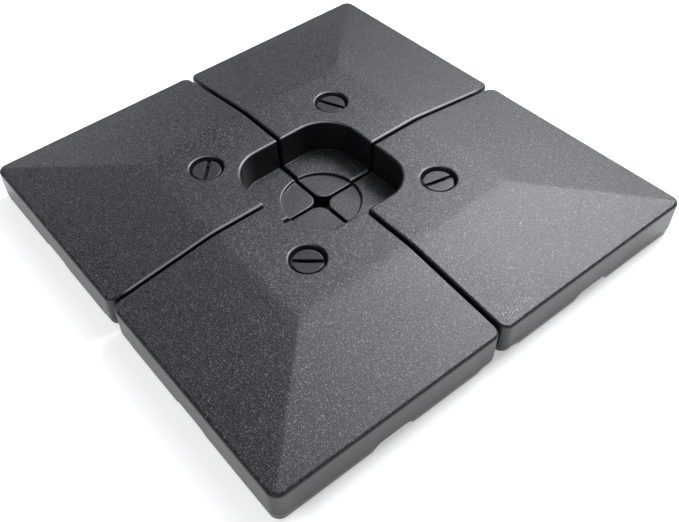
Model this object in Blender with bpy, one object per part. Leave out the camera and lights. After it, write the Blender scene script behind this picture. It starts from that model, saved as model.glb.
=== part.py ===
"""Parasol base: four hollow ballast tanks that stand together as one square.

Each tank is one blow-moulded shell with a filler neck in its top, closed by a slotted
screw plug on a rubber gasket. The tanks' inner corners are stepped down, so that together
they leave a square well for the foot of the parasol's mast, and their undersides are
relieved along the seams for the flat arms of its cross-shaped stand.

Metres, +Z up. The origin is on the ground in the middle of the set, and X and Y run along
the seams. A tank is modelled in the +X +Y quarter and turned into the other three.
"""

import math

import bmesh
import bpy

# Driving dimensions of the set
SIDE = 1.000  # across the four tanks
SEAM = 0.007  # gap between two neighbours
EDGE_HEIGHT = 0.080  # top surface at the outer sides
TOP_HEIGHT = 0.1095  # plateau round the well
PLATEAU = 0.266  # half-width of the plateau
WALL = 0.003  # blow-moulded wall

# Outline of a tank
OUTER_CORNER = 0.022  # radius at the corner of the whole set
SEAM_CORNER = 0.020  # radius where a seam reaches an outer side
INNER_CORNER = 0.027  # radius at the middle of the set
SMALLEST_CORNER = 0.002  # left of a corner that an inset draws in
CORNER_STEPS = 4  # even, so that the ridge meets the middle of the outer corner

# Edges of a tank
TOP_FILLET = 0.006
PARTING_HEIGHT = 0.020  # mould parting line, and start of the draft below it
FOOT_DRAFT = 0.0025  # how far the foot is drawn in below the parting line
FOOT_FILLET = 0.003

# Well for the mast's foot
WELL_RIM = 0.1405  # half-width at the rim
WELL_FLOOR = 0.1355  # half-width at the floor
WELL_FLOOR_HEIGHT = 0.036
WELL_CORNER = 0.080  # corner radius at the rim
WELL_LIP = 0.004
WELL_CORNER_STEPS = 8
DISC_RADIUS = 0.083  # round depression in the well's floor
DISC_HEIGHT = 0.029
DISC_DRAFT = 0.0015
DISC_STEPS = 48

# Hand grips under the outer sides
GRIP_HALF_WIDTH = 0.046
GRIP_HEIGHT = 0.016
GRIP_DEPTH = 0.038
GRIP_LEAN = 0.010  # how far its ends lean in
GRIP_CHAMFER = 0.003  # drop of the bevels at its top

# Relief under the seams for the stand's flat arms
RELIEF_WIDTH = 0.050
RELIEF_HEIGHT = 0.007
RELIEF_SLOPE = 0.008

# Filler neck, plug and gasket
FILLER = 0.1672  # distance of the filler's axis from each seam
ROUND_STEPS = 32
DISH_RADIUS = 0.0375  # at the plateau
SEAT_RADIUS = 0.0325
BORE_RADIUS = 0.0225
NECK_LENGTH = 0.018  # below the seat
PLUG_SUNK = 0.0066  # plug's face below the plateau
FLANGE_RADIUS = 0.030
FLANGE_THICKNESS = 0.0065
FLANGE_CHAMFER = 0.0012
SPIGOT_LENGTH = 0.0185
SPIGOT_WALL = 0.0037
SPIGOT_CEILING = 0.0037  # top of the spigot's hollow, below the flange
SLOT_WIDTH = 0.009
SLOT_DEPTH = 0.0048  # at its ends
SLOT_MIDDLE = 0.034  # length of its deeper middle
SLOT_MIDDLE_DEPTH = 0.0085
GASKET_THICKNESS = 0.0018
GASKET_RADIUS = 0.0292
CLEARANCE = 0.0003  # between pieces that touch

# What the driving dimensions give
NEAR = SEAM / 2  # a tank's two seam sides
FAR = SIDE / 2  # its two outer sides
MIDDLE = (NEAR + FAR) / 2
SLOPE = (TOP_HEIGHT - EDGE_HEIGHT) / (FAR - PLATEAU)
PLUG_TOP = TOP_HEIGHT - PLUG_SUNK
FLANGE_BOTTOM = PLUG_TOP - FLANGE_THICKNESS
GASKET_TOP = FLANGE_BOTTOM - CLEARANCE
GASKET_BOTTOM = GASKET_TOP - GASKET_THICKNESS
SEAT_HEIGHT = GASKET_BOTTOM - CLEARANCE
NECK_BOTTOM = SEAT_HEIGHT - NECK_LENGTH
SPIGOT_RADIUS = BORE_RADIUS - CLEARANCE
BEYOND = 0.010  # how far a cutter runs past the face that it enters

# Each tank: its name and its quarter turns from the +X +Y quarter
TANKS = (("rear_right", 0), ("rear_left", 1), ("front_left", 2), ("front_right", 3))
# The way each plug's slot points when it is screwed home, from +X
SLOT_ANGLES = {"rear_right": 77, "rear_left": 24, "front_left": -44, "front_right": 49}

COLOURS = {
    "tank": ((0.050, 0.050, 0.056, 1), 0.55),
    "plug": ((0.040, 0.040, 0.045, 1), 0.42),
    "gasket": ((0.012, 0.012, 0.012, 1), 0.75),
}


def clear_scene():
    for obj in list(bpy.data.objects):
        bpy.data.objects.remove(obj, do_unlink=True)


def make_material(name):
    colour, roughness = COLOURS[name]
    material = bpy.data.materials.new(name)
    material.use_nodes = True
    shader = material.node_tree.nodes["Principled BSDF"]
    shader.inputs["Base Color"].default_value = colour
    shader.inputs["Roughness"].default_value = roughness
    return material


def add_object(name, mesh):
    obj = bpy.data.objects.new(name, mesh)
    bpy.context.scene.collection.objects.link(obj)
    return obj


def mesh_of(name, bm):
    """The mesh of a closed bmesh, with its faces turned outwards."""
    bmesh.ops.recalc_face_normals(bm, faces=bm.faces)
    mesh = bpy.data.meshes.new(name)
    bm.to_mesh(mesh)
    bm.free()
    return mesh


def add_tool(name, bm):
    """A solid that only cuts others."""
    obj = add_object(name, mesh_of(name, bm))
    obj.hide_render = True
    obj.display_type = "WIRE"
    return obj


def cut(obj, tools):
    for tool in tools:
        modifier = obj.modifiers.new(tool.name, "BOOLEAN")
        modifier.operation = "DIFFERENCE"
        modifier.solver = "EXACT"
        modifier.object = tool


def top_at(x, y):
    """Height of the top surface: a plateau that falls to the outer sides."""
    return TOP_HEIGHT - SLOPE * max(x - PLATEAU, y - PLATEAU, 0)


def arc(centre_x, centre_y, radius, start, end, steps):
    """Points of an arc, both ends included, with its angles in degrees."""
    points = []
    for step in range(steps + 1):
        angle = math.radians(start + (end - start) * step / steps)
        points.append((centre_x + radius * math.cos(angle), centre_y + radius * math.sin(angle)))
    return points


def tank_outline(inset):
    """A tank's outline from above, drawn in by inset, anticlockwise from its inner corner."""
    low, high = NEAR + inset, FAR - inset
    inner, seam, outer = (
        max(radius - inset, SMALLEST_CORNER) for radius in (INNER_CORNER, SEAM_CORNER, OUTER_CORNER)
    )
    points = arc(low + inner, low + inner, inner, 180, 270, CORNER_STEPS)
    points.append((PLATEAU, low))
    points += arc(high - seam, low + seam, seam, 270, 360, CORNER_STEPS)
    points += arc(high - outer, high - outer, outer, 0, 90, CORNER_STEPS)
    points += arc(low + seam, high - seam, seam, 90, 180, CORNER_STEPS)
    points.append((low, PLATEAU))
    return points


def square_outline(half, radius, steps):
    """A square with round corners, centred on the origin."""
    points = []
    for turn, (sign_x, sign_y) in enumerate(((1, 1), (-1, 1), (-1, -1), (1, -1))):
        centre = half - radius
        points += arc(sign_x * centre, sign_y * centre, radius, turn * 90, turn * 90 + 90, steps)
    return points


def bridge(bm, rings):
    """Faces between rings of vertices that have the same length."""
    for lower, upper in zip(rings, rings[1:]):
        for i, vertex in enumerate(lower):
            after = (i + 1) % len(lower)
            bm.faces.new((vertex, lower[after], upper[after], upper[i]))


def closed_stack(outlines):
    """A solid through outlines of 3-D points, from the lowest to the highest."""
    bm = bmesh.new()
    rings = [[bm.verts.new(point) for point in outline] for outline in outlines]
    bridge(bm, rings)
    bm.faces.new(reversed(rings[0]))
    bm.faces.new(rings[-1])
    return bm


def turned(profile, steps, centre=(0, 0)):
    """A solid of revolution about Z. The profile is (radius, height) pairs, and starts and ends
    on the axis unless it is a closed loop away from it."""
    bm = bmesh.new()
    columns = []
    for radius, height in profile:
        if radius == 0:
            columns.append([bm.verts.new((*centre, height))] * steps)
            continue
        circle = arc(*centre, radius, 0, 360 - 360 / steps, steps - 1)
        columns.append([bm.verts.new((x, y, height)) for x, y in circle])
    pairs = list(zip(columns, columns[1:]))
    if profile[0][0] != 0:
        pairs.append((columns[-1], columns[0]))
    for first, second in pairs:
        for i in range(steps):
            after = (i + 1) % steps
            corners = (first[i], first[after], second[after], second[i])
            bm.faces.new(list(dict.fromkeys(corners)))
    return bm


def prism(outline, low, high, place):
    """An outline of (u, v) points drawn from low to high. place turns (u, v, w) into a point."""
    return closed_stack([[place(u, v, w) for u, v in outline] for w in (low, high)])


def tank_block(skin):
    """The tank's outer solid, or with skin the space inside that wall, without its recesses."""
    fillet = TOP_FILLET - skin
    half_fillet = fillet * (1 - math.cos(math.radians(45)))
    bottom = (
        (skin + FOOT_DRAFT + FOOT_FILLET, skin),
        (skin + FOOT_DRAFT, skin + FOOT_FILLET),
        (skin, PARTING_HEIGHT),
    )
    top = ((0, fillet), (half_fillet, half_fillet), (fillet, 0))
    outlines = [[(x, y, height) for x, y in tank_outline(inset)] for inset, height in bottom]
    for inset, drop in top:
        outline = tank_outline(skin + inset)
        outlines.append([(x, y, top_at(x, y) - skin - drop) for x, y in outline])
    bm = bmesh.new()
    rings = [[bm.verts.new(point) for point in outline] for outline in outlines]
    bridge(bm, rings)
    bm.faces.new(reversed(rings[0]))
    add_top_planes(bm, rings[-1], skin)
    return bm


def add_top_planes(bm, ring, skin):
    """The plateau and the two slopes, which meet on the ridge to the outer corner."""
    crown = bm.verts.new((PLATEAU, PLATEAU, TOP_HEIGHT - skin))
    fold_y = CORNER_STEPS + 1
    ridge = fold_y + 1 + (CORNER_STEPS + 1) + CORNER_STEPS // 2
    fold_x = len(ring) - 1
    bm.faces.new([crown, ring[fold_x], *ring[: fold_y + 1]])
    bm.faces.new([crown, *ring[fold_y : ridge + 1]])
    bm.faces.new([crown, *ring[ridge : fold_x + 1]])


def well_tool(skin):
    """The square well round the mast, widened by skin."""
    corner_centre = WELL_RIM - WELL_CORNER
    halves = (
        (WELL_FLOOR + skin, WELL_FLOOR_HEIGHT - skin),
        (WELL_RIM + skin, TOP_HEIGHT - WELL_LIP),
        (WELL_RIM + skin + WELL_LIP + BEYOND, TOP_HEIGHT + BEYOND),
    )
    outlines = []
    for half, height in halves:
        outline = square_outline(half, half - corner_centre, WELL_CORNER_STEPS)
        outlines.append([(x, y, height) for x, y in outline])
    return closed_stack(outlines)


def disc_tool(skin):
    """The round depression in the well's floor."""
    low = DISC_RADIUS - DISC_DRAFT + skin
    high = DISC_RADIUS + DISC_DRAFT + skin
    top = WELL_FLOOR_HEIGHT + BEYOND
    profile = (
        (0, DISC_HEIGHT - skin),
        (low, DISC_HEIGHT - skin),
        (high, WELL_FLOOR_HEIGHT),
        (high, top),
        (0, top),
    )
    return turned(profile, DISC_STEPS)


def grip_tool(skin, place):
    """A hand grip: a round-cornered notch in the foot of an outer side."""
    width, height = GRIP_HALF_WIDTH + skin, GRIP_HEIGHT + skin
    bevel = width - GRIP_LEAN
    right = (
        (width, -BEYOND),
        (width, 0),
        (bevel, height - GRIP_CHAMFER),
        (bevel - 2 * GRIP_CHAMFER, height),
    )
    left = tuple((-u, v) for u, v in reversed(right))
    outline = [(MIDDLE + u, v) for u, v in right + left]
    return prism(outline, FAR - GRIP_DEPTH - skin, FAR + BEYOND, place)


def relief_tool(skin, place):
    """The shallow relief under a seam side, for a flat arm of the stand."""
    width, height = RELIEF_WIDTH + skin, RELIEF_HEIGHT + skin
    outline = (
        (-BEYOND, -BEYOND),
        (width, -BEYOND),
        (width, 0),
        (width - RELIEF_SLOPE, height),
        (-BEYOND, height),
    )
    return prism(outline, -BEYOND, FAR + BEYOND, place)


def filler_tool():
    """The dish, the gasket's seat and the bore of the neck."""
    spread = (DISH_RADIUS - SEAT_RADIUS) * BEYOND / (TOP_HEIGHT - SEAT_HEIGHT)
    profile = (
        (0, NECK_BOTTOM - BEYOND),
        (BORE_RADIUS, NECK_BOTTOM - BEYOND),
        (BORE_RADIUS, SEAT_HEIGHT),
        (SEAT_RADIUS, SEAT_HEIGHT),
        (DISH_RADIUS + spread, TOP_HEIGHT + BEYOND),
        (0, TOP_HEIGHT + BEYOND),
    )
    return turned(profile, ROUND_STEPS, (FILLER, FILLER))


def neck_skin():
    """The dish and the neck as solids, as the space inside the tank sees them."""
    profile = (
        (0, NECK_BOTTOM),
        (BORE_RADIUS + WALL, NECK_BOTTOM),
        (BORE_RADIUS + WALL, SEAT_HEIGHT - WALL),
        (SEAT_RADIUS + WALL, SEAT_HEIGHT - WALL),
        (DISH_RADIUS + WALL, TOP_HEIGHT + BEYOND),
        (0, TOP_HEIGHT + BEYOND),
    )
    return turned(profile, ROUND_STEPS, (FILLER, FILLER))


def along_x(u, v, w):
    """The outline stands across X."""
    return (w, u, v)


def along_y(u, v, w):
    """The outline stands across Y."""
    return (u, w, v)


def recess_tools(skin):
    """Every recess of the tank except its filler, each grown by skin."""
    tools = [("well", well_tool(skin)), ("disc", disc_tool(skin))]
    for name, place in (("x", along_x), ("y", along_y)):
        tools.append((f"grip_{name}", grip_tool(skin, place)))
        tools.append((f"relief_{name}", relief_tool(skin, place)))
    return [add_tool(f"{name}_{'skin' if skin else 'cut'}", bm) for name, bm in tools]


def baked(obj, name):
    """The object's mesh with its modifiers applied."""
    bpy.context.view_layer.update()
    graph = bpy.context.evaluated_depsgraph_get()
    mesh = bpy.data.meshes.new_from_object(obj.evaluated_get(graph))
    mesh.name = name
    return mesh


def smooth(mesh, degrees):
    mesh.shade_smooth()
    mesh.set_sharp_from_angle(angle=math.radians(degrees))


def make_tank_mesh(material):
    """One tank: the outer solid less its recesses, its inside and its filler."""
    block = add_object("tank_block", mesh_of("tank_block", tank_block(0)))
    inside = add_tool("inside", tank_block(WALL))
    skins = recess_tools(WALL) + [add_tool("neck_skin", neck_skin())]
    cut(inside, skins)
    tools = recess_tools(0) + [inside, add_tool("filler_cut", filler_tool())]
    cut(block, tools)
    mesh = baked(block, "tank")
    mesh.materials.clear()
    mesh.materials.append(material)
    smooth(mesh, 35)
    for obj in [block, *tools, *skins]:
        bpy.data.objects.remove(obj, do_unlink=True)
    return mesh


def slot_tool():
    """The plug's slot, along X: right across the head, and deeper in its middle."""
    reach, middle = FLANGE_RADIUS + BEYOND, SLOT_MIDDLE / 2
    step, floor = FLANGE_THICKNESS - SLOT_DEPTH, FLANGE_THICKNESS - SLOT_MIDDLE_DEPTH
    right = ((middle, floor), (middle, step), (reach, step), (reach, FLANGE_THICKNESS + BEYOND))
    left = tuple((-u, v) for u, v in reversed(right))
    return prism(right + left, -SLOT_WIDTH / 2, SLOT_WIDTH / 2, along_y)


def make_plug_mesh(material):
    """The plug: a slotted round head on a hollow spigot, with its origin on the joint's axis
    at the head's underside. The slot runs along X."""
    hollow = SPIGOT_RADIUS - SPIGOT_WALL
    profile = (
        (0, FLANGE_THICKNESS),
        (FLANGE_RADIUS - FLANGE_CHAMFER, FLANGE_THICKNESS),
        (FLANGE_RADIUS, FLANGE_THICKNESS - FLANGE_CHAMFER),
        (FLANGE_RADIUS, 0),
        (SPIGOT_RADIUS, 0),
        (SPIGOT_RADIUS, -SPIGOT_LENGTH),
        (hollow, -SPIGOT_LENGTH),
        (hollow, -SPIGOT_CEILING),
        (0, -SPIGOT_CEILING),
    )
    head = add_object("plug_head", mesh_of("plug_head", turned(profile, ROUND_STEPS)))
    slot = add_tool("slot", slot_tool())
    cut(head, [slot])
    mesh = baked(head, "filler_plug")
    mesh.materials.clear()
    mesh.materials.append(material)
    smooth(mesh, 35)
    for obj in (head, slot):
        bpy.data.objects.remove(obj, do_unlink=True)
    return mesh


def make_gasket_mesh(material):
    """The gasket, with its origin on the axis at its top face."""
    inner = BORE_RADIUS + CLEARANCE
    profile = (
        (GASKET_RADIUS, 0),
        (GASKET_RADIUS, -GASKET_THICKNESS),
        (inner, -GASKET_THICKNESS),
        (inner, 0),
    )
    mesh = mesh_of("gasket", turned(profile, ROUND_STEPS))
    mesh.materials.append(material)
    smooth(mesh, 35)
    return mesh


def main():
    clear_scene()
    materials = {name: make_material(name) for name in COLOURS}
    tank_mesh = make_tank_mesh(materials["tank"])
    plug_mesh = make_plug_mesh(materials["plug"])
    gasket_mesh = make_gasket_mesh(materials["gasket"])
    for name, quarter_turns in TANKS:
        turn = math.radians(90 * quarter_turns)
        tank = add_object(f"tank_{name}", tank_mesh)
        tank.rotation_euler.z = turn
        plug = add_object(f"filler_plug_{name}", plug_mesh)
        plug.parent = tank
        plug.location = (FILLER, FILLER, FLANGE_BOTTOM)
        plug.rotation_euler.z = math.radians(SLOT_ANGLES[name]) - turn
        gasket = add_object(f"gasket_{name}", gasket_mesh)
        gasket.parent = tank
        gasket.location = (FILLER, FILLER, GASKET_TOP)


main()
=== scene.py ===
"""Parasol base: the finished look of the four ballast tanks, their screw plugs and gaskets.

Each piece is shaped as a distance field: a function that is negative inside the plastic, in
which every edge has the radius that the mould gives it. A mesh is drawn where the field is
zero. A tank is made in the +X +Y quarter and turned into the other three. Metres, +Z up.
"""

import math
from itertools import product

import bpy
import numpy as np
from mathutils import Matrix, Vector


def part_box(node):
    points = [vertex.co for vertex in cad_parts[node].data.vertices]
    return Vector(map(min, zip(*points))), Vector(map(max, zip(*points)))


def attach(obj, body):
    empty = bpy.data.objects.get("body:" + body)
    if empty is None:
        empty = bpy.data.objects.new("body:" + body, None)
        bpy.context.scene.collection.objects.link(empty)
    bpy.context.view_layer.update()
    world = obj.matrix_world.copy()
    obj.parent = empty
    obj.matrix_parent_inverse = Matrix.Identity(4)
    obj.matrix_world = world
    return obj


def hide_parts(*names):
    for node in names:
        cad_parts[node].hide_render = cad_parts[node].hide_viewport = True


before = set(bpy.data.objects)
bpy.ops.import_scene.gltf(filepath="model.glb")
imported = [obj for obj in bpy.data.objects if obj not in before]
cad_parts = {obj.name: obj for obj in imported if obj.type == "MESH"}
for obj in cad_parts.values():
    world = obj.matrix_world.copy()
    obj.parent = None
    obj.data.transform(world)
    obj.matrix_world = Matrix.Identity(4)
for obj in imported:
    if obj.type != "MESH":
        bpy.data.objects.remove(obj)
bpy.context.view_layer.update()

# Each tank, its quarter turns from the +X +Y quarter, and the way its plug's slot points
TANKS = (
    ("rear_right", 0, 77),
    ("rear_left", 1, 24),
    ("front_left", 2, -44),
    ("front_right", 3, 49),
)

# Sizes that the frame gives, read from the +X +Y quarter
TANK_LOW, TANK_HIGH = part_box("tank_rear_right")
PLUG_LOW, PLUG_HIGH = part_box("filler_plug_rear_right")
GASKET_LOW, GASKET_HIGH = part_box("gasket_rear_right")
NEAR, FAR, TOP = TANK_LOW[0], TANK_HIGH[0], TANK_HIGH[2]
MIDDLE = (NEAR + FAR) / 2
FILLER = (GASKET_LOW[0] + GASKET_HIGH[0]) / 2  # the filler's axis, from each seam
CLEARANCE = 0.0003
SEAT = GASKET_LOW[2] - CLEARANCE  # the ledge under the gasket
PLUG_TOP, SPIGOT_BOTTOM = PLUG_HIGH[2], PLUG_LOW[2]
FLANGE_BOTTOM = GASKET_HIGH[2] + CLEARANCE
GASKET_RADIUS = (GASKET_HIGH[0] - GASKET_LOW[0]) / 2

# Tank: outline and edges
WALL = 0.003
OUTER_CORNER = 0.022
SEAM_CORNER = 0.020
INNER_CORNER = 0.027
PARTING_HEIGHT = 0.020  # where the two halves of the mould met
PARTING_RIDGE = 0.0003
PARTING_WIDTH = 0.0007
FOOT_DRAFT = 0.0025
DRAFT_BEND = 0.001
FOOT_FILLET = 0.0020
OUTER_FILLET = 0.0065  # top edge along the outer sides
SEAM_FILLET = 0.0050  # top edge along the seams
FILLET_CHANGE = (0.01, 0.05)  # from a seam: where the one gives way to the other

# Tank: top surface
PLATEAU = 0.266
EDGE_DROP = 0.0295  # from the plateau to the outer sides
FOLD_SOFTNESS = 0.012
RIDGE_SOFTNESS = 0.006
PANEL_SAG = 0.0005  # a blown panel sinks a little as it cools

# Tank: well for the mast's foot
WELL_RIM = 0.1405
WELL_FLOOR = 0.1355
WELL_FLOOR_HEIGHT = 0.0360
WELL_CORNER_CENTRE = 0.0605
WELL_LIP = 0.0045
WELL_FOOT = 0.002
DISC_RADIUS = 0.0830
DISC_HEIGHT = 0.0290
DISC_LEAN = 0.25
DISC_LIP = 0.0018
DISC_FOOT = 0.0012

# Tank: hand grips, and the relief for the stand's arms
GRIP_HALF_WIDTH = 0.046
GRIP_TOP_HALF_WIDTH = 0.033
GRIP_HEIGHT = 0.016
GRIP_DEPTH = 0.038
GRIP_ROUND = 0.004
GRIP_LIP = 0.0015
RELIEF_WIDTH = 0.046
RELIEF_HEIGHT = 0.007
RELIEF_ROUND = 0.004

# Filler neck, plug and gasket
DISH_RADIUS = 0.0375
SEAT_RADIUS = 0.0325
DISH_FOOT = 0.001
DISH_LIP = 0.0024
BORE_RADIUS = 0.0225
BORE_LIP = 0.0008
NECK_LENGTH = 0.018
NECK_BOTTOM = SEAT - NECK_LENGTH
THREAD_PITCH = 0.006
GROOVE_DEPTH = 0.0008
FLANGE_RADIUS = 0.030
FLANGE_ROUND = 0.0016
SPIGOT_ROOT = 0.0212
SPIGOT_CREST = 0.0221
SPIGOT_HOLLOW = 0.0185
SPIGOT_ROUND = 0.0006
SPIGOT_ROOT_ROUND = 0.0001
SLOT_WIDTH = 0.009
SLOT_DEPTH = 0.0048  # at its ends
SLOT_MIDDLE = 0.034  # length of its deeper middle
SLOT_MIDDLE_DEPTH = 0.0085
HOLLOW_TOP = 0.0037  # below the flange
SLOT_LIP = 0.0006
SLOT_ROUND = 0.001
GASKET_ROUND = 0.0007

# Meshes: grid spacings, and the share of the faces that is kept
MARGIN = 0.0025
FINE, MEDIUM, FINEST = 0.00125, 0.0015, 0.0005
TANK_SHARE = 0.12
PLUG_STEP, PLUG_SHARE = 0.0006, 0.3
GASKET_STEP, GASKET_SHARE = 0.0005, 0.2
ROUND_MARGIN = 0.001
LONGEST_MOVE = 0.0008  # of a point in one round of settling
LEAST_STEEPNESS = 0.25

# Colours, linear
TANK_DARK, TANK_LIGHT = (0.005, 0.005, 0.0065, 1), (0.008, 0.008, 0.010, 1)
# Painted glints: pale specks on the grain's tips, standing in for the grain catching the key light
PAINTED_GRAIN_GLINT = (0.270, 0.270, 0.292, 1)
# Painted highlight on the seams' lips that look to +X
PAINTED_LIP_HIGHLIGHT = (0.240, 0.240, 0.255, 1)
PLUG_DARK, PLUG_LIGHT = (0.022, 0.022, 0.025, 1), (0.032, 0.032, 0.036, 1)
PLUG_WORN = (0.08, 0.08, 0.085, 1)
# Painted shade in the plug's slot and below its head's rim
PAINTED_RECESS_SHADE = (0.003, 0.003, 0.003, 1)
RUBBER_DARK, RUBBER_LIGHT = (0.010, 0.010, 0.010, 1), (0.022, 0.022, 0.022, 1)
FLOOR_WHITES = (0.90, 0.90, 0.90, 1), (0.92, 0.92, 0.92, 1)
# Painted shadow on the floor under the set's middle
PAINTED_FLOOR_SHADOW = (0.01, 0.01, 0.01, 1)
WHITE = (1, 1, 1, 1)

# Where colours change
LIP_REACH = (0.455, 0.470)  # from the middle: the painted highlight on the seams' lips ends before the outer sides
RECESS_SHADE_DEPTH = (0.0035, 0.0012)  # below the plug's top: from full painted shade to none

# Floor
FLOOR_HALF, FLOOR_HEIGHT = 8.0, -0.0005
FLOOR_GLOW = 0.40
SHADOW_GLOW = 0.70  # on the -Y side, where the set's shadow falls
SHADOW_SIDE = (-0.50, -0.44)
GLOW_START = (0.40, 0.48)  # under the set's outer edge
FLOOR_SHADE = (0.04, 0.14)  # from the middle: where the painted shadow ends and the white starts

# Light and camera
WORLD_COLOUR, WORLD_STRENGTH = (0.95, 0.97, 1.0, 1), 0.22
SOFTBOX_DISTANCE = 3.2
SOFTBOX_COLOUR = (0.94, 0.965, 1.0)
SOFTBOX_AIM = (0, 0, 0.05)
CAMERA_PLACE = (1.0084, -0.7937, 1.2529)
CAMERA_ANGLES = (56.28, 47.50, -4.928)  # yaw, pitch and roll, in degrees
CAMERA_LENS, SENSOR_WIDTH = 44.633, 36
CAMERA_SHIFT = 0.09
CAMERA_CLIP = 0.05

# Each softbox: its azimuth and elevation from the set, its size and its power
SOFTBOXES = (
    ("key", 95, 49, (1.7, 1.2), 152),
    ("key_high", 92, 68, (1.6, 1.2), 14),
    ("side", 180, 12, (1.6, 1.2), 6),
    ("back", 165, 44, (2.4, 1.6), 2),
    ("front", -60, 12, (1.6, 1.2), 5),
)


# --- Shaping with distances -------------------------------------------------------------


def soft_positive(value, softness):
    """value where it is positive and 0 where it is negative, with a round bend between them."""
    share = np.clip((value + softness) / (2 * softness), 0, 1)
    return softness * share**2 + np.maximum(value - softness, 0)


def both(first, second, radius):
    """Inside where both are inside, with the edge between them rounded."""
    bend = np.hypot(np.maximum(first + radius, 0), np.maximum(second + radius, 0))
    return np.minimum(np.maximum(first, second), -radius) + bend


def without(body, recess, radius):
    """The body less a recess, with the recess's lip rounded."""
    return both(body, -recess, radius)


def round_square(across_x, across_y, half, radius):
    """Distance to a square with round corners, from its middle."""
    over_x, over_y = np.abs(across_x) - half + radius, np.abs(across_y) - half + radius
    corner = np.hypot(np.maximum(over_x, 0), np.maximum(over_y, 0))
    return np.minimum(np.maximum(over_x, over_y), 0) + corner - radius


def helix(around, z):
    """1 on the crest of the neck's right-handed thread and -1 between its turns."""
    return np.cos(around - 2 * math.pi * (z - SEAT) / THREAD_PITCH)


# --- The tank ---------------------------------------------------------------------------


def top_at(x, y):
    """Height of the top surface: a plateau that falls to the outer sides, folded on a ridge."""
    slope = EDGE_DROP / (FAR - PLATEAU)
    reach = y + soft_positive(x - y, RIDGE_SOFTNESS)
    sag = PANEL_SAG * (np.sin(math.pi * x / FAR) * np.sin(math.pi * y / FAR)) ** 2
    return TOP - slope * soft_positive(reach - PLATEAU, FOLD_SOFTNESS) - sag


def block(x, y, z):
    """The tank's outer solid before its recesses."""
    corner = np.where(x + y < 2 * MIDDLE, INNER_CORNER, OUTER_CORNER)
    corner = np.where((x < MIDDLE) == (y < MIDDLE), corner, SEAM_CORNER)
    side = round_square(x - MIDDLE, y - MIDDLE, FAR - MIDDLE, corner)
    draft = FOOT_DRAFT * soft_positive(PARTING_HEIGHT - z, DRAFT_BEND) / PARTING_HEIGHT
    ridge = PARTING_RIDGE * np.exp(-(((z - PARTING_HEIGHT) / PARTING_WIDTH) ** 2))
    start, end = FILLET_CHANGE
    from_seam = np.clip((np.minimum(x, y) - start) / (end - start), 0, 1)
    fillet = SEAM_FILLET + (OUTER_FILLET - SEAM_FILLET) * from_seam
    body = both(side + draft + PARTING_RIDGE - ridge, z - top_at(x, y), fillet)
    return both(body, -z, FOOT_FILLET)


def well(x, y, z):
    rise = (z - WELL_FLOOR_HEIGHT) / (TOP - WELL_FLOOR_HEIGHT)
    half = WELL_FLOOR + (WELL_RIM - WELL_FLOOR) * rise
    side = round_square(x, y, half, half - WELL_CORNER_CENTRE)
    return both(side, WELL_FLOOR_HEIGHT - z, WELL_FOOT)


def disc(x, y, z):
    """The round depression in the well's floor."""
    side = np.hypot(x, y) - DISC_RADIUS - DISC_LEAN * (z - DISC_HEIGHT)
    return both(side, DISC_HEIGHT - z, DISC_FOOT)


def grip(along, inwards, z):
    """A notch in the foot of an outer side. inwards is 0 at that side."""
    taper = (GRIP_HALF_WIDTH - GRIP_TOP_HALF_WIDTH) / GRIP_HEIGHT
    ends = (np.abs(along - MIDDLE) - GRIP_HALF_WIDTH + taper * z) / math.hypot(1, taper)
    notch = both(ends, z - GRIP_HEIGHT, GRIP_ROUND)
    return both(notch, inwards - GRIP_DEPTH, GRIP_ROUND)


def relief(across, z):
    """The shallow channel under a seam side."""
    edge = (across - RELIEF_WIDTH + z - RELIEF_HEIGHT / 2) / math.sqrt(2)
    return both(edge, z - RELIEF_HEIGHT, RELIEF_ROUND)


def dish(radius, z):
    lean = (DISH_RADIUS - SEAT_RADIUS) / (TOP - SEAT)
    side = (radius - SEAT_RADIUS - lean * (z - SEAT)) / math.hypot(1, lean)
    return both(side, SEAT - z, DISH_FOOT)


def tank(x, y, z):
    """A tank's plastic: its outer skin, its hollow inside and its threaded neck."""
    body = without(block(x, y, z), well(x, y, z), WELL_LIP)
    body = without(body, disc(x, y, z), DISC_LIP)
    for along, inwards in ((y, FAR - x), (x, FAR - y)):
        body = without(body, grip(along, inwards, z), GRIP_LIP)
    for across in (x, y):
        body = without(body, relief(across, z), RELIEF_ROUND)
    radius = np.hypot(x - FILLER, y - FILLER)
    around = np.arctan2(y - FILLER, x - FILLER)
    neck = np.maximum(radius - BORE_RADIUS - GROOVE_DEPTH - WALL, NECK_BOTTOM - z)
    neck = np.minimum(neck, dish(radius, z) - WALL)
    hollow = np.maximum(body + WALL, -neck)
    body = without(body, dish(radius, z), DISH_LIP)
    body = np.maximum(body, -hollow)
    groove = GROOVE_DEPTH * np.maximum(helix(around, z), 0)
    bore = np.maximum(radius - BORE_RADIUS - groove, NECK_BOTTOM - WALL - z)
    return without(body, bore, BORE_LIP)


# --- The plug and the gasket ------------------------------------------------------------


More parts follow.
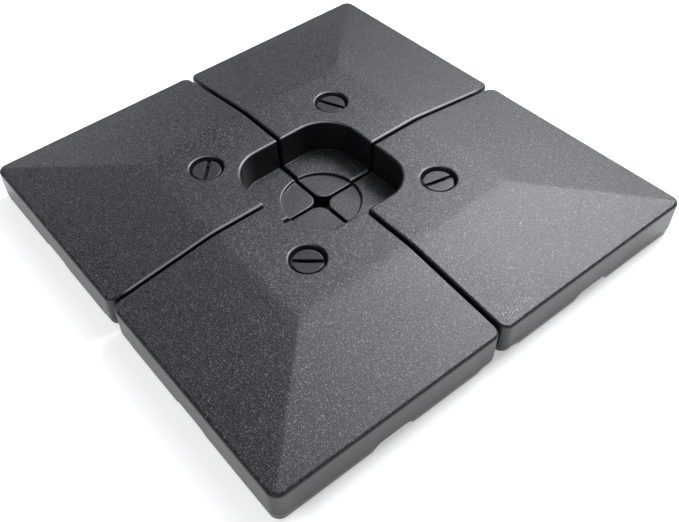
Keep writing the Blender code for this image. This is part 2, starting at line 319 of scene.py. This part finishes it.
def plug(slot_angle):
    """The plug's field in its tank's quarter, with its slot at an angle to X."""
    slot_x, slot_y = math.cos(slot_angle), math.sin(slot_angle)

    def distance(x, y, z):
        x, y = x - FILLER, y - FILLER
        radius = np.hypot(x, y)
        middle, half = (PLUG_TOP + FLANGE_BOTTOM) / 2, (PLUG_TOP - FLANGE_BOTTOM) / 2
        head = both(radius - FLANGE_RADIUS, np.abs(z - middle) - half, FLANGE_ROUND)
        across = np.abs(slot_x * y - slot_y * x) - SLOT_WIDTH / 2
        slot = both(across, PLUG_TOP - SLOT_DEPTH - z, SLOT_ROUND)
        along = np.abs(slot_x * x + slot_y * y) - SLOT_MIDDLE / 2
        deeper = both(np.maximum(across, along), PLUG_TOP - SLOT_MIDDLE_DEPTH - z, SLOT_ROUND)
        slot = np.minimum(slot, deeper)
        thread = np.maximum(helix(np.arctan2(y, x), z), 0)
        outer = radius - SPIGOT_ROOT - (SPIGOT_CREST - SPIGOT_ROOT) * thread
        spigot = both(outer, SPIGOT_BOTTOM - z, SPIGOT_ROUND)
        spigot = both(spigot, z - middle, SPIGOT_ROOT_ROUND)
        hollow = np.maximum(radius - SPIGOT_HOLLOW, z - FLANGE_BOTTOM + HOLLOW_TOP)
        spigot = without(spigot, hollow, SPIGOT_ROUND)
        return without(np.minimum(head, spigot), slot, SLOT_LIP)

    return distance


def gasket(x, y, z):
    radius = np.hypot(x - FILLER, y - FILLER)
    inner = BORE_RADIUS + CLEARANCE
    low, high = GASKET_LOW[2], GASKET_HIGH[2]
    across = np.abs(radius - (inner + GASKET_RADIUS) / 2) - (GASKET_RADIUS - inner) / 2
    return both(across, np.abs(z - (low + high) / 2) - (high - low) / 2, GASKET_ROUND)


# --- Meshes from distances --------------------------------------------------------------


def spaced(*stretches):
    """Grid lines along stretches, each given as its start, its end and its spacing."""
    lines = [np.arange(start, end - step / 2, step) for start, end, step in stretches]
    return np.concatenate([*lines, [stretches[-1][1]]])


def surface_net(distance, axes):
    """Points and quads where the distance is zero: a point in each grid cell that it crosses."""
    value = distance(*np.meshgrid(*axes, indexing="ij"))
    inside = value < 0
    shape = tuple(n - 1 for n in inside.shape)
    corners = np.zeros(shape, np.int8)
    for offset in product((0, 1), repeat=3):
        corners += inside[tuple(slice(start, start + n) for start, n in zip(offset, shape))]
    crossed = (corners > 0) & (corners < 8)
    cells = np.argwhere(crossed)
    number = np.full(shape, -1)
    number[crossed] = np.arange(len(cells))
    return cell_points(value, axes, cells), cell_quads(inside, number)


def cell_points(value, axes, cells):
    """In each cell, the mean of the points where its edges cross the surface."""
    total, hits = np.zeros((len(cells), 3)), np.zeros((len(cells), 1))
    for axis, offset in product(range(3), product((0, 1), repeat=3)):
        if offset[axis]:
            continue
        start = cells + offset
        end = start + np.eye(3, dtype=int)[axis]
        low, high = value[tuple(start.T)], value[tuple(end.T)]
        meets = (low < 0) != (high < 0)
        share = low / np.where(meets, low - high, 1)
        place = np.stack([axes[i][start[:, i]] for i in range(3)], axis=1)
        place[:, axis] += share * (axes[axis][end[:, axis]] - place[:, axis])
        total += np.where(meets[:, None], place, 0)
        hits += meets[:, None]
    return total / hits


def cell_quads(inside, number):
    """A quad round each grid edge with one end inside, facing outwards."""
    quads = []
    for axis in range(3):
        within = np.moveaxis(inside, axis, 0)[:, 1:-1, 1:-1]
        cells = np.moveaxis(number, axis, 0)
        crossings = np.argwhere(within[:-1] != within[1:])
        leaving = within[:-1][tuple(crossings.T)]
        a, u, v = crossings.T
        ring = ((0, 0), (1, 0), (1, 1), (0, 1))
        quad = np.stack([cells[a, u + du, v + dv] for du, dv in ring], axis=1)
        backwards = leaving == (axis == 1)
        quad[backwards] = quad[backwards][:, ::-1]
        quads.append(quad)
    return np.concatenate(quads)


def gradient(distance, points, step=1e-5):
    sides = []
    for axis in range(3):
        offset = step * np.eye(3)[axis]
        ahead, behind = distance(*(points + offset).T), distance(*(points - offset).T)
        sides.append((ahead - behind) / (2 * step))
    return np.stack(sides, axis=1)


def settled(distance, points, rounds):
    """The points moved onto the surface, and its outward directions there."""
    for _ in range(rounds):
        lean = gradient(distance, points)
        steepness = np.maximum((lean**2).sum(axis=1), LEAST_STEEPNESS)
        move = np.clip(distance(*points.T) / steepness, -LONGEST_MOVE, LONGEST_MOVE)
        points = points - move[:, None] * lean
    lean = gradient(distance, points)
    return points, lean / np.linalg.norm(lean, axis=1, keepdims=True)


def bend_at(distance, points, radius=0.004, step=0.0005):
    """1 on an edge that turns outwards with this radius or a smaller one, -1 in such a hollow."""
    around = -6 * distance(*points.T)
    for offset in np.vstack([np.eye(3), -np.eye(3)]) * step:
        around += distance(*(points + offset).T)
    return np.clip(around / step**2 * radius, -1, 1)


def add_object(name, data):
    obj = bpy.data.objects.new(name, data)
    bpy.context.scene.collection.objects.link(obj)
    return obj


def shaped_mesh(name, distance, axes, share):
    """The mesh of a distance field, thinned to a share of its faces. It has the field's own
    normals, and its attribute "edge" says where an edge or a hollow is."""
    points, quads = surface_net(distance, axes)
    points, _ = settled(distance, points, 2)
    mesh = bpy.data.meshes.new(name)
    mesh.from_pydata(points.tolist(), [], quads.tolist())
    obj = add_object(name, mesh)
    obj.modifiers.new("thin", "DECIMATE").ratio = share
    bpy.context.view_layer.update()
    graph = bpy.context.evaluated_depsgraph_get()
    mesh = bpy.data.meshes.new_from_object(obj.evaluated_get(graph))
    bpy.data.objects.remove(obj, do_unlink=True)
    points = np.empty(len(mesh.vertices) * 3)
    mesh.vertices.foreach_get("co", points)
    points, normals = settled(distance, points.reshape(-1, 3), 1)
    mesh.vertices.foreach_set("co", points.ravel())
    mesh.shade_smooth()
    mesh.normals_split_custom_set_from_vertices(normals.tolist())
    edge = mesh.attributes.new("edge", "FLOAT", "POINT")
    edge.data.foreach_set("value", bend_at(distance, points))
    return mesh


def make_tank_mesh():
    """The tank's grid is fine where its shape turns and coarse where it is nearly flat."""
    across = spaced(
        (NEAR - MARGIN, 0.012, FINE),  # seam side
        (0.012, 0.222, MEDIUM),  # well, filler and the grips' near ends
        (0.222, 0.280, 0.004),  # fold
        (0.280, 0.310, MEDIUM),  # the grips' far ends
        (0.310, 0.450, 0.005),  # slope
        (0.450, 0.470, FINE),  # the grips' inner sides
        (0.470, 0.488, 0.003),
        (0.488, FAR + MARGIN, FINE),  # outer side
    )
    upwards = spaced(
        (-MARGIN, 0.018, FINE),  # foot, grips and relief
        (0.018, 0.022, FINEST),  # parting ridge
        (0.022, 0.036, FINE),  # depression in the well
        (0.036, 0.066, 0.003),  # plain walls
        (0.066, TOP + MARGIN, FINE),  # neck and top
    )
    return shaped_mesh("tank", tank, (across, across, upwards), TANK_SHARE)


def round_axes(radius, low, high, step):
    """The grid of a round piece on the filler's axis."""
    across = spaced((FILLER - radius - ROUND_MARGIN, FILLER + radius + ROUND_MARGIN, step))
    return across, across, spaced((low - ROUND_MARGIN, high + ROUND_MARGIN, step))


# --- Materials --------------------------------------------------------------------------


class Shader:
    """A material's node tree, with short calls for the nodes that it uses."""

    def __init__(self, name):
        self.material = bpy.data.materials.new(name)
        self.material.use_nodes = True
        self.tree = self.material.node_tree
        self.principled = self.tree.nodes["Principled BSDF"]
        self.place = self.node("ShaderNodeTexCoord").outputs["Object"]

    def node(self, kind, **settings):
        made = self.tree.nodes.new(kind)
        for key, value in settings.items():
            setattr(made, key, value)
        return made

    def join(self, value, socket):
        if isinstance(value, bpy.types.NodeSocket):
            self.tree.links.new(value, socket)
        else:
            socket.default_value = value

    def noise(self, scale, detail=2.0, roughness=0.5):
        made = self.node("ShaderNodeTexNoise")
        made.inputs["Scale"].default_value = scale
        made.inputs["Detail"].default_value = detail
        made.inputs["Roughness"].default_value = roughness
        self.join(self.place, made.inputs["Vector"])
        return made.outputs["Fac"]

    def math(self, operation, *values):
        made = self.node("ShaderNodeMath", operation=operation)
        for socket, value in zip(made.inputs, values):
            self.join(value, socket)
        return made.outputs["Value"]

    def parts(self, vector):
        """A vector's X, Y and Z."""
        made = self.node("ShaderNodeSeparateXYZ")
        self.join(vector, made.inputs[0])
        return made.outputs

    def reach(self):
        """The place's distance from the middle, along X or Y, whichever is the greater."""
        place = self.parts(self.place)
        return self.math("MAXIMUM", *(self.math("ABSOLUTE", place[side]) for side in "XY"))

    def fit(self, value, low, high, to_low=0.0, to_high=1.0):
        """The value with its stretch from low to high moved onto another, and held at its ends."""
        made = self.node("ShaderNodeMapRange")
        for socket, number in zip(made.inputs, (value, low, high, to_low, to_high)):
            self.join(number, socket)
        return made.outputs["Result"]

    def mix(self, share, first, second):
        made = self.node("ShaderNodeMix", data_type="RGBA")
        self.join(share, made.inputs["Factor"])
        self.join(first, made.inputs["A"])
        self.join(second, made.inputs["B"])
        return made.outputs["Result"]

    def attribute(self, name):
        return self.node("ShaderNodeAttribute", attribute_name=name).outputs["Fac"]

    def bump(self, height, distance, strength=1.0, below=None):
        made = self.node("ShaderNodeBump")
        made.inputs["Strength"].default_value = strength
        made.inputs["Distance"].default_value = distance
        self.join(height, made.inputs["Height"])
        if below is not None:
            self.join(below, made.inputs["Normal"])
        return made.outputs["Normal"]


def tank_plastic():
    """Blown polyethylene: a sand-like mould grain on top, finer on the sides, with painted glints
    on the grain's tips of the top faces.
    """
    s = Shader("tank_plastic")
    facing = s.parts(s.node("ShaderNodeTexCoord").outputs["Normal"])
    on_top = s.fit(facing["Z"], 0.5, 0.95, 0.15, 1.0)
    sand = s.fit(s.noise(380, 3.0, 0.85), 0.40, 0.64)
    edge = s.fit(s.attribute("edge"), 0.2, 0.9)
    colour = s.mix(s.fit(s.noise(5, 3.0), 0.3, 0.7), TANK_DARK, TANK_LIGHT)
    # Painted glints: pale specks on the grain's tips, mostly on the top faces, where the grain
    # catches the key light
    grain_glints = s.math("MULTIPLY", s.math("POWER", sand, 5.0), on_top)
    colour = s.mix(grain_glints, colour, PAINTED_GRAIN_GLINT)
    # Painted highlight: the seams' lips that look to +X are painted paler
    wear_and_lip_highlight = s.math("MULTIPLY", s.fit(facing["X"], 0.15, 0.55), s.fit(facing["Z"], 0.2, 0.5))
    wear_and_lip_highlight = s.math("MULTIPLY", s.fit(s.reach(), *LIP_REACH, 1.0, 0.0), wear_and_lip_highlight)
    wear_and_lip_highlight = s.math("MULTIPLY", wear_and_lip_highlight, s.fit(s.attribute("edge"), 0.3, 0.8))
    colour = s.mix(wear_and_lip_highlight, colour, PAINTED_LIP_HIGHLIGHT)
    s.join(colour, s.principled.inputs["Base Color"])
    rough = s.fit(s.noise(12, 2.0), 0.3, 0.7, 0.33, 0.36)
    rough = s.math("SUBTRACT", rough, s.math("MULTIPLY", grain_glints, 0.20))
    s.join(rough, s.principled.inputs["Roughness"])
    kept = s.math("SUBTRACT", 1.0, s.math("MULTIPLY", edge, 0.7))
    height = s.math("MULTIPLY", s.math("MULTIPLY", sand, on_top), kept)
    wave = s.bump(s.noise(7, 1.0), 0.0015, 0.25)
    s.join(s.bump(height, 0.0002, 1.0, wave), s.principled.inputs["Normal"])
    return s.material


def plug_plastic():
    """Injection-moulded plastic: smoother than the tanks, scuffed at its edges, with painted shade
    in the slot and below the head's rim."""
    s = Shader("plug_plastic")
    wear_and_lip_highlight = s.math("MULTIPLY", s.fit(s.attribute("edge"), 0.3, 1.0), s.noise(150, 3.0))
    colour = s.mix(s.fit(s.noise(40, 3.0), 0.3, 0.7), PLUG_DARK, PLUG_LIGHT)
    colour = s.mix(s.math("MULTIPLY", wear_and_lip_highlight, 0.4), colour, PLUG_WORN)
    full, none = (PLUG_TOP - depth for depth in RECESS_SHADE_DEPTH)
    # Painted shade: darker and matte below the plug's top, in the slot and below the head's rim
    grime = s.fit(s.parts(s.place)["Z"], full, none, 1.0, 0.0)
    colour = s.mix(grime, colour, PAINTED_RECESS_SHADE)
    s.join(colour, s.principled.inputs["Base Color"])
    rough = s.fit(s.noise(220, 4.0), 0.3, 0.7, 0.26, 0.40)
    rough = s.math("MAXIMUM", rough, s.math("MULTIPLY", grime, 0.95))
    s.join(rough, s.principled.inputs["Roughness"])
    s.join(s.bump(s.noise(1400, 2.0), 0.00006, 0.6), s.principled.inputs["Normal"])
    return s.material


def gasket_rubber():
    s = Shader("gasket_rubber")
    colour = s.mix(s.noise(300, 3.0), RUBBER_DARK, RUBBER_LIGHT)
    s.join(colour, s.principled.inputs["Base Color"])
    s.join(s.fit(s.noise(500, 3.0), 0.3, 0.7, 0.6, 0.8), s.principled.inputs["Roughness"])
    s.join(s.bump(s.noise(1800, 2.0), 0.00005, 0.7), s.principled.inputs["Normal"])
    return s.material


def floor_paint():
    """White paint that glows as painted light all round the set, most on the -Y side to wash out
    the set's shadow, and not under it; a painted shadow darkens it under the set's middle."""
    s = Shader("floor_paint")
    pale = s.mix(s.noise(1.5, 2.0), *FLOOR_WHITES)
    # Painted shadow: dark near the middle, white further out
    from_middle = s.node("ShaderNodeVectorMath", operation="LENGTH")
    s.join(s.place, from_middle.inputs[0])
    white = s.fit(from_middle.outputs["Value"], *FLOOR_SHADE)
    s.join(s.mix(white, PAINTED_FLOOR_SHADOW, pale), s.principled.inputs["Base Color"])
    s.principled.inputs["Roughness"].default_value = 0.9
    s.principled.inputs["Specular IOR Level"].default_value = 0.1
    # The glow is painted light: stronger on the -Y side, where it washes out the set's shadow
    strength = s.fit(s.parts(s.place)["Y"], *SHADOW_SIDE, SHADOW_GLOW, FLOOR_GLOW)
    glow = s.math("MULTIPLY", s.fit(s.reach(), *GLOW_START), strength)
    s.principled.inputs["Emission Color"].default_value = WHITE
    s.join(glow, s.principled.inputs["Emission Strength"])
    return s.material


# --- The set ----------------------------------------------------------------------------


def place_piece(name, mesh, material, quarter_turns, body, node):
    """The mesh turned into its quarter, riding on its body in place of its CAD node."""
    turned = mesh.copy()
    turned.transform(Matrix.Rotation(math.radians(90 * quarter_turns), 4, "Z"))
    turned.materials.clear()
    turned.materials.append(material)
    piece = add_object(name, turned)
    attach(piece, body)
    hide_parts(node)
    return piece


def make_set():
    tank_finish, plug_finish, rubber = tank_plastic(), plug_plastic(), gasket_rubber()
    tank_mesh = make_tank_mesh()
    gasket_axes = round_axes(GASKET_RADIUS, GASKET_LOW[2], GASKET_HIGH[2], GASKET_STEP)
    gasket_mesh = shaped_mesh("gasket", gasket, gasket_axes, GASKET_SHARE)
    plug_axes = round_axes(FLANGE_RADIUS, SPIGOT_BOTTOM, PLUG_TOP, PLUG_STEP)
    for name, turns, slot_angle in TANKS:
        distance = plug(math.radians(slot_angle - 90 * turns))
        plug_mesh = shaped_mesh("plug", distance, plug_axes, PLUG_SHARE)
        place_piece(
            f"tank_shell_{name}", tank_mesh, tank_finish, turns,
            f"tank_{name}", f"tank_{name}",
        )
        place_piece(
            f"screw_plug_{name}", plug_mesh, plug_finish, turns,
            f"plug_{name}", f"filler_plug_{name}",
        )
        place_piece(
            f"seal_ring_{name}", gasket_mesh, rubber, turns,
            f"gasket_{name}", f"gasket_{name}",
        )


# --- Floor, light and camera ------------------------------------------------------------


def add_floor():
    mesh = bpy.data.meshes.new("floor")
    turns = ((-1, -1), (1, -1), (1, 1), (-1, 1))
    corners = [(across * FLOOR_HALF, along * FLOOR_HALF, FLOOR_HEIGHT) for across, along in turns]
    mesh.from_pydata(corners, [], [(0, 1, 2, 3)])
    mesh.materials.append(floor_paint())
    add_object("floor", mesh)


def add_softbox(name, place, size, power):
    light = bpy.data.lights.new(name, "AREA")
    light.shape = "RECTANGLE"
    light.size, light.size_y = size
    light.energy = power
    light.color = SOFTBOX_COLOUR
    obj = add_object(name, light)
    obj.location = place
    ahead = Vector(SOFTBOX_AIM) - Vector(place)
    obj.rotation_euler = ahead.to_track_quat("-Z", "Y").to_euler()


def add_lights():
    world = bpy.data.worlds.new("studio")
    bpy.context.scene.world = world
    world.use_nodes = True
    background = world.node_tree.nodes["Background"]
    background.inputs["Color"].default_value = WORLD_COLOUR
    background.inputs["Strength"].default_value = WORLD_STRENGTH
    for name, azimuth, elevation, size, power in SOFTBOXES:
        across, up = math.radians(azimuth), math.radians(elevation)
        aside, height = math.cos(up) * SOFTBOX_DISTANCE, math.sin(up) * SOFTBOX_DISTANCE
        place = (math.cos(across) * aside, math.sin(across) * aside, height)
        add_softbox(name, place, size, power)


def add_camera():
    """Looks down on the set from the front and the right, with a little roll."""
    yaw, pitch, roll = (math.radians(angle) for angle in CAMERA_ANGLES)
    level = math.cos(pitch)
    back = Vector((math.sin(yaw) * level, -math.cos(yaw) * level, math.sin(pitch)))
    right = Vector((math.cos(yaw), math.sin(yaw), 0))
    up = back.cross(right)
    level_right = right * math.cos(roll) + up * math.sin(roll)
    level_up = up * math.cos(roll) - right * math.sin(roll)
    camera = add_object("camera", bpy.data.cameras.new("camera"))
    turn = Matrix((level_right, level_up, back)).transposed().to_4x4()
    camera.matrix_world = Matrix.Translation(CAMERA_PLACE) @ turn
    camera.data.lens = CAMERA_LENS
    camera.data.sensor_width = SENSOR_WIDTH
    camera.data.shift_x = CAMERA_SHIFT
    camera.data.clip_start = CAMERA_CLIP
    bpy.context.scene.camera = camera


add_camera()
make_set()
add_floor()
add_lights()
bpy.context.scene.view_settings.view_transform = "Standard"
